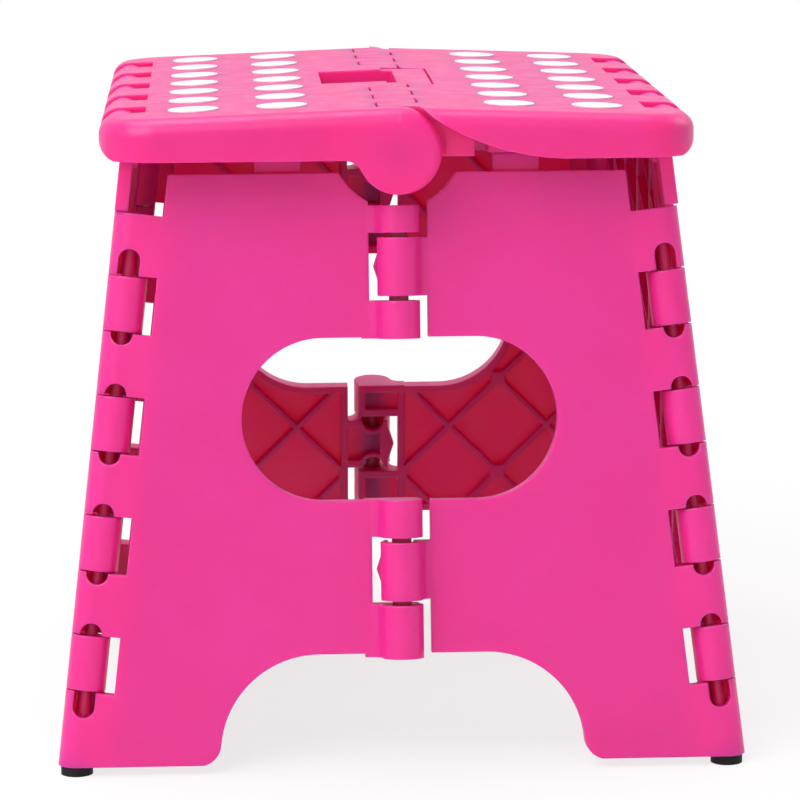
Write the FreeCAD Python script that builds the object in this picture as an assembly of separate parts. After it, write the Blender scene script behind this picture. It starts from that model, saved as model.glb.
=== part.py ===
"""Folding step stool: two seat halves, two end panels, and a front and a back wall that fold inwards.

Units are millimetres. X runs from the left end panel to the right one, Y from the front to the back and Z up.
The origin is on the floor, below the middle of the seat. The six leaning hinge lines of the walls meet in one
apex above the stool, which is what lets panels with leaning corners fold flat against each other.
"""
import FreeCAD, Part
import math
import os

from FreeCAD import Placement, Rotation, Vector

# Fits
RUNNING_FIT = 0.06          # radial clearance of a pin in a bore
FACE_GAP = 0.6              # gap between the side faces of neighbouring knuckles and fingers
BACK_PIN_PLAY = 0.45        # radial play of the back centre pins in the middle knuckles
MID_PIN_PLAY = 1.5          # radial play of the mid hinge pins in the right seat half
SEAT_REST_GAP = 0.3         # gap between the seat's bearing pads and the tabs below them
SAME_PLACE = 0.01           # two places closer than this are one place

# Leaning frame of hinge lines
APEX_HEIGHT = 920.0         # floor to the point where the hinge lines meet
CORNER_OUTSET = 10.6        # seat's outer end to the corner hinge line outside it, at the floor
CORNER_INSET = 0.2          # seat's side to the corner hinge line inside it, at the floor
CENTRE_OFFSET = 9.2         # centre hinge line in front of the corner hinge lines, at the floor

# Panels
CORNER_RADIUS = 6.5         # corner posts and corner knuckles
PANEL_DEPTH = 6.0           # outer face to the back of the ribs
SKIN = 2.5                  # panel wall without ribs
RIM = 2.6                   # raised edge around each panel's inside
RIB = 1.8                   # width of the crossing ribs
RIB_STEP = 27.0             # distance between neighbouring ribs
BOSS_RADIUS = 2.9           # small round boss where ribs cross
RIB_START_ACROSS = 10.5     # first crossing from the wall's middle
RIB_START_UP = 16.0         # first crossing from the floor, up the slope
FOOT_HEIGHT = 3.3           # floor to the panels' lower edge
PANEL_GAP = 6.9             # seat skirt's lower edge to the top edge of the front panel
WINDOW_EDGE = 9.7           # corner hinge line to the panel edge beside a knuckle
ARCH_TOP = 38.9             # floor to the top of the arch, up the slope
ARCH_ROUND = 32.8           # upper corners of the arch
FOOT_ROUND = 7.5            # lower corners of the arch
FOOT_LAP = 0.2              # how far those rounds would run below the panels' lower edge
FRONT_ARCH_HALF = 60.6      # half width of the arch in the front and back walls
END_ARCH_HALF = 70.0        # half width of the arch in the end panels
OVAL_HALF_LENGTH = 52.3     # oval opening between the two centre hinges of a wall
OVAL_LAP = 0.4              # how far the knuckles beside the oval reach into it
EAR_CLEARANCE = 7.5         # room around the seat's round ears in the top edge
TAB_INNER = 31.6            # upright tab on the top edge that carries the seat
TAB_WIDTH = 15.4
TAB_SETBACK = 2.0

# Corner hinges, measured along the hinge line from the floor
CORNER_KNUCKLES = 4
CORNER_FIRST = 37.3         # middle of the lowest knuckle
CORNER_LAST = 29.9          # top of the posts to the middle of the highest knuckle
CORNER_LENGTH = 18.0
POST_DROP = 11.4            # top edge of the front panel to the top of the posts
CORNER_PIN_RADIUS = 2.25
CORNER_PIN_START = 13.0
NOTCH_HALF_WIDTH = 3.6      # notch in a post that bares the pin
NOTCH_LONG = 8.6
NOTCH_SHORT = 3.9
NOTCH_DEPTH = 3.0           # how far a notch reaches behind the hinge line

# Centre hinges, measured up the slope from the floor
CENTRE_RADIUS = 7.0
CENTRE_LENGTH = 19.2        # middle knuckle
CENTRE_GAP = 1.6            # gap between neighbouring centre knuckles
CENTRE_LOWER = 66.5         # middle of the lower hinge
CENTRE_EAR_GAP = 6.4        # top of the upper hinge to the seat's round ears
CENTRE_OUTER_LENGTHS = {"lower_bottom": 17.6, "lower_top": 12.5, "upper_bottom": 12.5, "upper_top": 9.0}
CENTRE_EDGE = 9.7           # hinge line to the panel edge beside a knuckle
CENTRE_PIN_RADIUS = 3.25
CENTRE_BLEND = 4.0          # hollow round between a knuckle and the panel face
CENTRE_END_WALL = 2.0       # closed end of the outermost knuckles
KNUCKLE_REACH = 5.7         # knuckle's flat back beyond the hinge line
KNUCKLE_WALL = 2.8          # wall around the pocket in a knuckle's back
KNUCKLE_FLOOR = 1.0         # pocket floor beside the pin
KNUCKLE_NOTCH = 4.3         # half-round notch in the ends of a middle knuckle's back
RIDGE_RISE = 2.4            # pointed ridge on the free side of a middle knuckle
RIDGE_DEPTH = 4.0

# Seat
SEAT_HEIGHT = 220.0         # floor to the seat's highest line, above the mid hinge
SEAT_HALF_WIDTH = 97.8
SEAT_HALF_DEPTH = 118.7
SEAT_FALL = 2.0             # degrees by which each half falls towards its outer end
SEAT_SKIRT = 16.7           # highest line to the skirt's lower edge
SEAT_PLATE = 3.2            # top plate
SEAT_WALL = 3.0             # skirt wall
SEAT_RIB = 2.0
SEAT_RIBS = 9               # ribs along X under each half
SEAT_EDGE_ROUND = 6.0       # upper edge of the front and back skirts
SEAT_CORNER_ROUND = 18.0    # outer corners, seen from above
SEAT_SOLID_HALF = 25.0      # solid width beside the mid hinge
PAD_MARGIN = 1.5            # bearing pad beyond the tab that it stands on

# Seat mid hinge
EAR_RADIUS = 14.0
EAR_LENGTH = 10.2           # front and back ears along Y
EAR_GAP = 1.5               # radial gap around ears and fingers
EAR_BLEND = 6.0             # hollow round between an ear and the left skirt
EAR_TOP_ROUND = 5.7         # ear's edge at its highest point
EAR_EDGE_ROUND = 0.8        # ear's edge at its lowest point
FINGER_INSET = 0.1          # fingers' barrels are this much smaller than the ears
TONGUE_REACH = 6.4          # square tip of a finger beyond the mid hinge line
TONGUE_GAP = 0.6            # gap at that tip
TONGUE_ROUND = 1.5          # upright edges of that tip
FINGERS = 6                 # layers between an ear and the carrying bar
MID_PIN_RADIUS = 3.0
MID_PIN_END = 3.0           # closed end of the bore in an ear
SWEEP_RADIUS = 81.4         # large round that cuts the right skirt back
SWEEP_END = 56.0            # where that round meets the skirt's lower edge

# Hand hole and carrying bar
BAR_HALF = 29.0             # half length of the bar with its arms
BAR_ARM = 6.5               # width of each arm
BAR_REACH = 16.0            # bar beyond the mid hinge line
BAR_GAP = 0.6
BAR_DEPTH = 13.0
BAR_ROUND = 1.0
HOLE_LEFT = 22.5            # hand hole to the left of the mid hinge line
HOLE_RIGHT = 4.0            # hand hole to the right of it

# Seat end hinges
END_RADIUS = 6.9            # rounded outer end of the seat
END_KNUCKLE_RADIUS = 6.2
END_SLOTS = 5
END_MARGIN = 35.7           # seat's side to the middle of the nearest slot
END_SLOT = 19.6             # slot in the seat
END_SLOT_GAP = 2.2          # gap between a barrel and the slot's inner wall
END_PIN_RADIUS = 2.5
END_PIN_MARGIN = 9.0        # pin's end short of the seat's side
END_PANEL_DROP = 1.2        # gap between the seat's rounded end and the end panel
STRIP_REACH = 5.5           # end panel in front of the corner hinge line, above the posts
STRIP_DEPTH = 4.4

# Grip dots
DOT_RADIUS = 8.5
DOT_ROWS = 7
DOT_MARGIN = 27.2           # seat's side to the middle of the nearest dot
DOT_INNER = 37.6            # mid hinge line to the inner column of dots
DOT_OUTER = 31.0            # seat's outer end to the outer column of dots
DOT_DEPTH = 1.2             # recess in the seat
DOT_RISE = 0.35             # dot above the seat

# Rubber feet
FOOT_RADIUS = 5.3
FOOT_STEM_RADIUS = 2.6
FOOT_STEM = 5.0

# Worked-out places
CENTRE_POINT = Vector(0, 0, 0)
X_AXIS = Vector(1, 0, 0)
Y_AXIS = Vector(0, 1, 0)
Z_AXIS = Vector(0, 0, 1)
CORNER_X = SEAT_HALF_WIDTH + CORNER_OUTSET
CORNER_Y = SEAT_HALF_DEPTH - CORNER_INSET
FRONT_APEX = math.hypot(APEX_HEIGHT, CORNER_Y)
END_APEX = math.hypot(APEX_HEIGHT, CORNER_X)
PANEL_BACK = CORNER_RADIUS - PANEL_DEPTH
POCKET_FLOOR = CORNER_RADIUS - SKIN
FRONT_LEAN = math.atan2(CORNER_Y, APEX_HEIGHT)
END_LEAN = math.atan2(CORNER_X, APEX_HEIGHT)
FALL = math.radians(SEAT_FALL)
MID_HEIGHT = SEAT_HEIGHT - EAR_RADIUS
SKIRT_HEIGHT = SEAT_HEIGHT - SEAT_SKIRT
PANEL_TOP = (SKIRT_HEIGHT - PANEL_GAP) / math.cos(FRONT_LEAN)
POST_TOP = PANEL_TOP - POST_DROP
CORNER_PITCH = (POST_TOP - CORNER_LAST - CORNER_FIRST) / (CORNER_KNUCKLES - 1)
HINGE_TOP = (MID_HEIGHT - EAR_RADIUS) / math.cos(FRONT_LEAN) - CENTRE_EAR_GAP
CENTRE_UPPER = HINGE_TOP - CENTRE_OUTER_LENGTHS["upper_top"] - CENTRE_GAP - CENTRE_LENGTH / 2
OVAL_LOW = CENTRE_LOWER + CENTRE_LENGTH / 2 + CENTRE_GAP + CENTRE_OUTER_LENGTHS["lower_top"] - OVAL_LAP
OVAL_HIGH = CENTRE_UPPER - CENTRE_LENGTH / 2 - CENTRE_GAP - CENTRE_OUTER_LENGTHS["upper_bottom"] + OVAL_LAP
OVAL_HALF_HEIGHT = (OVAL_HIGH - OVAL_LOW) / 2
OVAL_CENTRE = (OVAL_HIGH + OVAL_LOW) / 2
HOLE_HALF = BAR_HALF - BAR_ARM
END_PITCH = 2 * (SEAT_HALF_DEPTH - END_MARGIN) / (END_SLOTS - 1)
END_SLOT_DEPTH = END_RADIUS + END_KNUCKLE_RADIUS + END_SLOT_GAP
DOT_PITCH = 2 * (SEAT_HALF_DEPTH - DOT_MARGIN) / (DOT_ROWS - 1)
DOT_COLUMNS = (DOT_INNER, SEAT_HALF_WIDTH - DOT_OUTER)
END_AXIS_X = SEAT_HALF_WIDTH - END_RADIUS
END_AXIS_Z = SEAT_HEIGHT - END_AXIS_X * math.tan(FALL) - END_RADIUS / math.cos(FALL)
FINGER_LENGTH = (SEAT_HALF_DEPTH - EAR_LENGTH - BAR_HALF) / FINGERS
FAR = APEX_HEIGHT


def turned(shape):
    """The same shape on the opposite side of the stool."""
    copy = shape.copy()
    copy.rotate(CENTRE_POINT, Z_AXIS, 180)
    return copy


def mirrored(shape):
    """The shape's mirror image across the middle plane X = 0."""
    return shape.mirror(CENTRE_POINT, X_AXIS)


def placed(shape, placement):
    copy = shape.copy()
    copy.Placement = placement.multiply(copy.Placement)
    return copy


def block(low, high):
    size = high - low
    return Part.makeBox(size.x, size.y, size.z, low)


def prism(points, direction):
    wire = Part.makePolygon(points + [points[0]])
    return Part.Face(wire).extrude(direction)


def rod(start, end, radius):
    return Part.makeCylinder(radius, (end - start).Length, start, end - start)


def union(shapes):
    shapes = list(shapes)
    return shapes[0].multiFuse(shapes[1:]).removeSplitter()


def without(shape, cutters):
    return shape.cut(list(cutters))


def front_frame():
    """Placement of the front wall: X stays, Y runs up the slope and Z points out of the wall."""
    up = Vector(0, math.sin(FRONT_LEAN), math.cos(FRONT_LEAN))
    out = X_AXIS.cross(up)
    return Placement(Vector(0, -CORNER_Y, 0), Rotation(X_AXIS, up, out, "XYZ"))


def end_frame():
    """Placement of the left end panel: X runs to the front, Y up the slope and Z out of the panel."""
    along = Vector(0, -1, 0)
    up = Vector(math.sin(END_LEAN), 0, math.cos(END_LEAN))
    return Placement(Vector(-CORNER_X, 0, 0), Rotation(along, up, along.cross(up), "XYZ"))


def corner_frame(half_width, apex):
    """Placement on a panel's left corner hinge line: X runs to the panel's middle and Y along the line."""
    lean = math.atan2(half_width, apex)
    inward = Vector(math.cos(lean), -math.sin(lean), 0)
    along = Vector(math.sin(lean), math.cos(lean), 0)
    return Placement(Vector(-half_width, 0, 0), Rotation(inward, along, Z_AXIS, "XYZ"))


def corner_knuckle_spans():
    """Start and end of each end-panel knuckle along the corner hinge line."""
    for index in range(CORNER_KNUCKLES):
        middle = CORNER_FIRST + index * CORNER_PITCH
        yield middle - CORNER_LENGTH / 2, middle + CORNER_LENGTH / 2


def post_spans():
    """Start and end of each post of a front or back panel along the corner hinge line."""
    start = -CORNER_RADIUS
    for low, high in corner_knuckle_spans():
        yield start, low - FACE_GAP
        start = high + FACE_GAP
    yield start, POST_TOP


def line_at(half_width, apex, height):
    """Distance of a corner hinge line from the panel's middle at a height up the slope."""
    return half_width * (1 - height / apex)


def floor_block(height):
    return block(Vector(-FAR, -FAR, -FAR), Vector(FAR, FAR, height))


def arch(half_width, lean, grow, low, high):
    """Space under the arch of a panel, whose round sides run into the rounded inner corners of the feet."""
    height = high - low
    arch_x = half_width - ARCH_ROUND
    arch_y = ARCH_TOP - ARCH_ROUND
    lower_edge = (FOOT_HEIGHT - CORNER_RADIUS * math.sin(lean)) / math.cos(lean)
    foot_y = lower_edge - FOOT_LAP + FOOT_ROUND
    foot_x = arch_x + math.sqrt((ARCH_ROUND + FOOT_ROUND) ** 2 - (foot_y - arch_y) ** 2)
    pieces = [block(Vector(-arch_x, -FAR, low), Vector(arch_x, ARCH_TOP + grow, high))]
    for side in (-1, 1):
        middle = Vector(side * arch_x, arch_y, low)
        pieces.append(Part.makeCylinder(ARCH_ROUND + grow, height, middle, Z_AXIS))
        flare = prism(
            [
                Vector(side * arch_x, -FAR, low),
                Vector(side * foot_x, -FAR, low),
                Vector(side * foot_x, foot_y, low),
                Vector(side * arch_x, arch_y, low),
            ],
            Vector(0, 0, height),
        )
        foot = Part.makeCylinder(FOOT_ROUND - grow, height, Vector(side * foot_x, foot_y, low), Z_AXIS)
        pieces.append(flare.cut(foot))
    return union(pieces)


def oval(grow, low, high):
    """Oval opening that the two halves of a wall share."""
    radius = OVAL_HALF_HEIGHT + grow
    reach = OVAL_HALF_LENGTH - OVAL_HALF_HEIGHT
    ends = [
        Part.makeCylinder(radius, high - low, Vector(side * reach, OVAL_CENTRE, low), Z_AXIS)
        for side in (-1, 1)
    ]
    middle = block(Vector(-reach, OVAL_CENTRE - radius, low), Vector(reach, OVAL_CENTRE + radius, high))
    return union(ends + [middle])


def lattice_hollows(half_width, height, low, high):
    """Square hollows between crossing ribs, which leave a round boss at every other crossing."""
    half = (RIB_STEP - RIB) / math.sqrt(2)
    step = RIB_STEP / math.sqrt(2)
    square = prism(
        [Vector(half, 0, low), Vector(0, half, low), Vector(-half, 0, low), Vector(0, -half, low)],
        Vector(0, 0, high - low),
    )
    kinds = []
    for crossing in (Vector(0, step, low), Vector(step, 0, low)):
        opposite = Vector(-crossing.x, -crossing.y, low)
        bosses = [Part.makeCylinder(BOSS_RADIUS, high - low, place, Z_AXIS) for place in (crossing, opposite)]
        kinds.append(without(square, bosses))
    hollows = []
    across = math.ceil(half_width / step) + 1
    for row in range(-2, math.ceil(height / step) + 1):
        for column in range(-across, across + 1):
            if (row + column) % 2 == 0:
                continue
            hollow = kinds[column % 2].copy()
            hollow.translate(Vector(column * step - RIB_START_ACROSS, row * step + RIB_START_UP, 0))
            hollows.append(hollow)
    return Part.Compound(hollows)


def ribbed_pocket(area, hollows, frame):
    """Hollows of a panel's inside that lie within its rim and above the floor edge."""
    area = placed(area, frame).cut(floor_block(FOOT_HEIGHT + RIM))
    return area.common(placed(hollows, frame))


def half_panel_area(inset, low, high):
    """Left half of the front wall between two depths, with every edge drawn in by the inset."""
    corner = corner_frame(CORNER_X, FRONT_APEX)
    bottom = -CORNER_RADIUS
    top = PANEL_TOP - inset
    edge = CENTRE_EDGE + inset
    area = prism(
        [
            Vector(-line_at(CORNER_X, FRONT_APEX, bottom), bottom, low),
            Vector(-edge, bottom, low),
            Vector(-edge, top, low),
            Vector(-line_at(CORNER_X, FRONT_APEX, top), top, low),
        ],
        Vector(0, 0, high - low),
    )
    ear_middle = MID_HEIGHT / math.cos(FRONT_LEAN)
    ear_room = EAR_RADIUS + EAR_CLEARANCE + inset
    cutters = [
        oval(inset, low, high),
        arch(FRONT_ARCH_HALF, FRONT_LEAN, inset, low, high),
        Part.makeCylinder(ear_room, high - low, Vector(0, ear_middle, low), Z_AXIS),
    ]
    gaps = [(start - FACE_GAP, end + FACE_GAP) for start, end in corner_knuckle_spans()]
    gaps.append((POST_TOP, FRONT_APEX))
    if inset:
        gaps = [(2 * bottom, FRONT_APEX)]
    for start, end in gaps:
        gap = block(Vector(-FAR, start, low), Vector(WINDOW_EDGE + inset, end, high))
        cutters.append(placed(gap, corner))
    return without(area, cutters)


def corner_posts():
    """Round posts of a front panel half, with notches that bare the hinge pin."""
    spans = list(post_spans())
    last = len(spans) - 1
    posts = []
    notches = []
    for index, (start, end) in enumerate(spans):
        posts.append(rod(Vector(0, start, 0), Vector(0, end, 0), CORNER_RADIUS))
        if index > 0:
            length = NOTCH_LONG if index == last else NOTCH_SHORT
            notches.append((start, length, 1))
        if index < last:
            length = NOTCH_LONG if index == 0 else NOTCH_SHORT
            notches.append((end, length, -1))
    cutters = []
    face = CORNER_RADIUS + FACE_GAP
    for edge, length, way in notches:
        round_end = edge + way * (length - NOTCH_HALF_WIDTH)
        start, end = sorted((round_end - way * length, round_end))
        base = Vector(0, round_end, -NOTCH_DEPTH)
        cutters.append(Part.makeCylinder(NOTCH_HALF_WIDTH, NOTCH_DEPTH + face, base, Z_AXIS))
        low = Vector(-NOTCH_HALF_WIDTH, start, -NOTCH_DEPTH)
        cutters.append(block(low, Vector(NOTCH_HALF_WIDTH, end, face)))
    return posts, cutters


def centre_offset(height):
    """Centre hinge line in front of the corner hinge lines, at a height up the slope."""
    return CENTRE_OFFSET * (1 - height / FRONT_APEX)


def centre_point(height):
    return Vector(0, height, centre_offset(height))


def centre_spans(outer):
    """Spans of the centre knuckles up the slope, for the half with the outer ones or with the middle ones."""
    half = CENTRE_LENGTH / 2
    for name, middle in (("lower", CENTRE_LOWER), ("upper", CENTRE_UPPER)):
        if not outer:
            yield middle - half, middle + half
            continue
        below = middle - half - CENTRE_GAP
        above = middle + half + CENTRE_GAP
        yield below - CENTRE_OUTER_LENGTHS[name + "_bottom"], below
        yield above, above + CENTRE_OUTER_LENGTHS[name + "_top"]


def centre_pin_spans():
    """Ends of the lower and upper centre pins up the slope."""
    outer = list(centre_spans(outer=True))
    for lowest, highest in ((outer[0][0], outer[1][1]), (outer[2][0], outer[3][1])):
        yield lowest + CENTRE_END_WALL, highest - CENTRE_END_WALL


def centre_knuckle(start, end):
    """One knuckle with the flat back and the hollow round that join it to the panel on its left."""
    offset = centre_offset((start + end) / 2)
    width = 2 * CENTRE_RADIUS
    span = block(Vector(-width, start, PANEL_BACK), Vector(width, end, offset + width))
    barrel = rod(centre_point(start - CENTRE_GAP), centre_point(end + CENTRE_GAP), CENTRE_RADIUS).common(span)
    web_left = CENTRE_EDGE + RIM
    back = block(Vector(-web_left, start, PANEL_BACK), Vector(KNUCKLE_REACH, end, CORNER_RADIUS))
    rise = CORNER_RADIUS + CENTRE_BLEND - offset
    blend_left = math.sqrt((CENTRE_RADIUS + CENTRE_BLEND) ** 2 - rise**2)
    share = CENTRE_RADIUS / (CENTRE_RADIUS + CENTRE_BLEND)
    touch = Vector(-blend_left * share, start, offset + rise * share)
    fill = prism(
        [
            Vector(-blend_left, start, CORNER_RADIUS),
            touch,
            Vector(0, start, offset),
            Vector(0, start, CORNER_RADIUS - SKIN),
            Vector(-blend_left, start, CORNER_RADIUS - SKIN),
        ],
        Vector(0, end - start, 0),
    )
    hollow = Part.makeCylinder(
        CENTRE_BLEND, end - start, Vector(-blend_left, start, CORNER_RADIUS + CENTRE_BLEND), Y_AXIS
    )
    return [barrel, back, fill.cut(hollow)]


def knuckle_pocket(start, end, notched):
    """Pocket in a knuckle's back and, on a middle knuckle, the half-round notches that bare the pin."""
    offset = centre_offset((start + end) / 2)
    depth = offset - CENTRE_PIN_RADIUS - KNUCKLE_FLOOR
    pocket = block(
        Vector(-CENTRE_EDGE, start + KNUCKLE_WALL, PANEL_BACK),
        Vector(KNUCKLE_REACH - KNUCKLE_WALL, end - KNUCKLE_WALL, depth),
    )
    if not notched:
        return [pocket]
    walls = []
    notches = []
    for edge in (start, end):
        base = Vector(0, edge, PANEL_BACK)
        walls.append(Part.makeCylinder(KNUCKLE_NOTCH + KNUCKLE_WALL / 2, offset, base, Z_AXIS))
        notches.append(Part.makeCylinder(KNUCKLE_NOTCH, offset - PANEL_BACK, base, Z_AXIS))
    return [without(pocket, walls)] + notches


def knuckle_ridge(start, end):
    """Pointed ridge on the free side of a middle knuckle's back."""
    middle = (start + end) / 2
    return prism(
        [
            Vector(KNUCKLE_REACH, start + KNUCKLE_NOTCH / 2, PANEL_BACK),
            Vector(KNUCKLE_REACH + RIDGE_RISE, middle, PANEL_BACK),
            Vector(KNUCKLE_REACH, end - KNUCKLE_NOTCH / 2, PANEL_BACK),
            Vector(0, middle, PANEL_BACK),
        ],
        Vector(0, 0, RIDGE_DEPTH),
    )


def wall_half(outer, pin_clearance):
    """Left half of the front wall, with the outer or the middle centre knuckles."""
    frame = front_frame()
    corner = corner_frame(CORNER_X, FRONT_APEX)
    plate = half_panel_area(0, PANEL_BACK, CORNER_RADIUS)
    hollows = lattice_hollows(CORNER_X, PANEL_TOP, PANEL_BACK, POCKET_FLOOR)
    pocket = ribbed_pocket(half_panel_area(RIM, PANEL_BACK, POCKET_FLOOR), hollows, frame)
    posts, notches = corner_posts()
    tab_face = CORNER_RADIUS - TAB_SETBACK
    tab_top = (SKIRT_HEIGHT - SEAT_REST_GAP) / math.cos(FRONT_LEAN) - tab_face * math.tan(FRONT_LEAN)
    tab = block(
        Vector(-TAB_INNER - TAB_WIDTH, PANEL_TOP - RIM, PANEL_BACK),
        Vector(-TAB_INNER, tab_top, tab_face),
    )
    pieces = [plate, tab] + [placed(post, corner) for post in posts]
    pockets = []
    for start, end in centre_spans(outer):
        pieces += centre_knuckle(start, end)
        pockets += knuckle_pocket(start, end, notched=not outer)
        if not outer:
            pieces.append(knuckle_ridge(start, end))
    body = placed(without(union(pieces), pockets), frame)
    pin_line = placed(corner_pin_local(RUNNING_FIT), frame)
    bores = [pin_line]
    for start, end in centre_pin_spans():
        bore = rod(centre_point(start), centre_point(end), CENTRE_PIN_RADIUS + pin_clearance)
        bores.append(placed(bore, frame))
    cutters = [pocket, floor_block(FOOT_HEIGHT), foot_stem(RUNNING_FIT)] + bores
    cutters += [placed(placed(notch, corner), frame) for notch in notches]
    return without(body, cutters)


def corner_pin_local(clearance):
    """Corner hinge pin, in the front wall's own frame."""
    start = Vector(0, CORNER_PIN_START, 0)
    end = Vector(0, POST_TOP - CENTRE_END_WALL, 0)
    pin = rod(start, end, CORNER_PIN_RADIUS + clearance)
    return placed(pin, corner_frame(CORNER_X, FRONT_APEX))


def centre_pins():
    """Lower and upper centre hinge pins of the front wall."""
    return [
        placed(rod(centre_point(start), centre_point(end), CENTRE_PIN_RADIUS), front_frame())
        for start, end in centre_pin_spans()
    ]


def foot_middle():
    return Vector(-CORNER_X, -CORNER_Y, 0)


def foot_stem(clearance):
    base = foot_middle() + Vector(0, 0, FOOT_HEIGHT - clearance)
    return Part.makeCylinder(FOOT_STEM_RADIUS + clearance, FOOT_STEM + 2 * clearance, base, Z_AXIS)


def rubber_foot():
    """Round foot with the stem that plugs it into the lowest post."""
    disc = Part.makeCylinder(FOOT_RADIUS, FOOT_HEIGHT, foot_middle(), Z_AXIS)
    base = foot_middle() + Vector(0, 0, FOOT_HEIGHT / 2)
    stem = Part.makeCylinder(FOOT_STEM_RADIUS, FOOT_HEIGHT / 2 + FOOT_STEM, base, Z_AXIS)
    return union([disc, stem])


def end_panel_area(inset, low, high, top):
    """End panel between two depths, without its knuckles, with every edge drawn in by the inset."""
    bottom = -CORNER_RADIUS
    side = WINDOW_EDGE / math.cos(math.atan2(CORNER_Y, END_APEX)) + inset
    lower = line_at(CORNER_Y, END_APEX, bottom) - side
    upper = line_at(CORNER_Y, END_APEX, top - inset) - side
    area = prism(
        [
            Vector(-lower, bottom, low),
            Vector(lower, bottom, low),
            Vector(upper, top - inset, low),
            Vector(-upper, top - inset, low),
        ],
        Vector(0, 0, high - low),
    )
    return area.cut(arch(END_ARCH_HALF, END_LEAN, inset, low, high))


def end_slot_middles():
    for index in range(END_SLOTS):
        yield (index - (END_SLOTS - 1) / 2) * END_PITCH


def end_panel():
    """Left end panel with its corner knuckles and the barrels that carry the seat."""
    frame = end_frame()
    corner = corner_frame(CORNER_Y, END_APEX)
    axis_local = frame.inverse().multVec(Vector(-END_AXIS_X, 0, END_AXIS_Z))
    seat_bottom = min(END_AXIS_Z - END_RADIUS, SKIRT_HEIGHT)
    top = (seat_bottom - END_PANEL_DROP) / math.cos(END_LEAN) - CORNER_RADIUS * math.tan(END_LEAN)
    plate = end_panel_area(0, PANEL_BACK, CORNER_RADIUS, top)
    hollows = lattice_hollows(CORNER_Y, top, PANEL_BACK, POCKET_FLOOR)
    pocket = ribbed_pocket(end_panel_area(RIM, PANEL_BACK, POCKET_FLOOR, top), hollows, frame)
    one_side = []
    for start, end in corner_knuckle_spans():
        one_side.append(rod(Vector(0, start, 0), Vector(0, end, 0), CORNER_RADIUS))
        one_side.append(block(Vector(0, start, PANEL_BACK), Vector(WINDOW_EDGE + RIM, end, CORNER_RADIUS)))
    strip_start = POST_TOP + FACE_GAP
    strip_top = top / math.cos(math.atan2(CORNER_Y, END_APEX))
    strip_back = CORNER_RADIUS - STRIP_DEPTH
    strip_low = Vector(-STRIP_REACH, strip_start, strip_back)
    one_side.append(block(strip_low, Vector(WINDOW_EDGE + RIM, strip_top, CORNER_RADIUS)))
    one_side = [placed(piece, corner) for piece in one_side]
    trim = block(Vector(-FAR, top, -FAR), Vector(FAR, FAR, FAR))
    one_side[-1] = one_side[-1].cut(trim)
    pieces = [plate] + one_side + [mirrored(piece) for piece in one_side]
    half = END_SLOT / 2 - FACE_GAP
    for middle in end_slot_middles():
        barrel_start = Vector(middle - half, axis_local.y, axis_local.z)
        barrel_end = Vector(middle + half, axis_local.y, axis_local.z)
        pieces.append(rod(barrel_start, barrel_end, END_KNUCKLE_RADIUS))
        neck = [
            Vector(middle - half, top - RIM, PANEL_BACK),
            Vector(middle - half, top - RIM, CORNER_RADIUS),
            Vector(middle - half, axis_local.y, axis_local.z),
            Vector(middle - half, axis_local.y, axis_local.z - END_KNUCKLE_RADIUS),
        ]
        pieces.append(prism(neck, Vector(2 * half, 0, 0)))
    body = placed(union(pieces), frame)
    front_pin = placed(corner_pin_local(RUNNING_FIT), front_frame())
    back_pin = mirrored(turned(front_pin))
    cutters = [pocket, floor_block(FOOT_HEIGHT), front_pin, back_pin, end_pin(RUNNING_FIT)]
    return without(body, cutters)


def end_pin(clearance):
    """Long pin through the left end of the seat and the end panel's barrels."""
    reach = SEAT_HALF_DEPTH - END_PIN_MARGIN + clearance
    start = Vector(-END_AXIS_X, -reach, END_AXIS_Z)
    return rod(start, start + Vector(0, 2 * reach, 0), END_PIN_RADIUS + clearance)


def top_height(distance):
    """Height of the seat's top at a distance from the mid-line."""
    return SEAT_HEIGHT - distance * math.tan(FALL)


def seat_plan():
    """Upright prism over the left half of the seat, with the two outer corners rounded."""
    width = SEAT_HALF_WIDTH
    depth = SEAT_HALF_DEPTH
    corner = SEAT_CORNER_ROUND
    pieces = [
        block(Vector(-width + corner, -depth, 0), Vector(0, depth, SEAT_HEIGHT)),
        block(Vector(-width, -depth + corner, 0), Vector(0, depth - corner, SEAT_HEIGHT)),
    ]
    for side in (-1, 1):
        middle = Vector(-width + corner, side * (depth - corner), 0)
        pieces.append(Part.makeCylinder(corner, SEAT_HEIGHT, middle, Z_AXIS))
    return union(pieces)


def seat_slab():
    """Left half of the seat's outer form, with its rounded upper edge and rounded outer end."""
    depth = SEAT_HALF_DEPTH
    side = prism(
        [
            Vector(0, -depth, SEAT_HEIGHT),
            Vector(-SEAT_HALF_WIDTH, -depth, top_height(SEAT_HALF_WIDTH)),
            Vector(-SEAT_HALF_WIDTH, -depth, SKIRT_HEIGHT),
            Vector(0, -depth, SKIRT_HEIGHT),
        ],
        Vector(0, 2 * depth, 0),
    )
    slab = side.common(seat_plan())
    upper = [
        edge
        for edge in slab.Edges
        if all(abs(vertex.Z - top_height(-vertex.X)) < SAME_PLACE for vertex in edge.Vertexes)
        and min(vertex.X for vertex in edge.Vertexes) < -SAME_PLACE
    ]
    slab = slab.makeFillet(SEAT_EDGE_ROUND, upper)
    start = Vector(-END_AXIS_X, -depth, END_AXIS_Z)
    end_round = rod(start, start + Vector(0, 2 * depth, 0), END_RADIUS)
    below = block(Vector(-SEAT_HALF_WIDTH - END_RADIUS, -depth, 0), Vector(-END_AXIS_X, depth, END_AXIS_Z))
    return slab.cut(below.cut(end_round))


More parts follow.
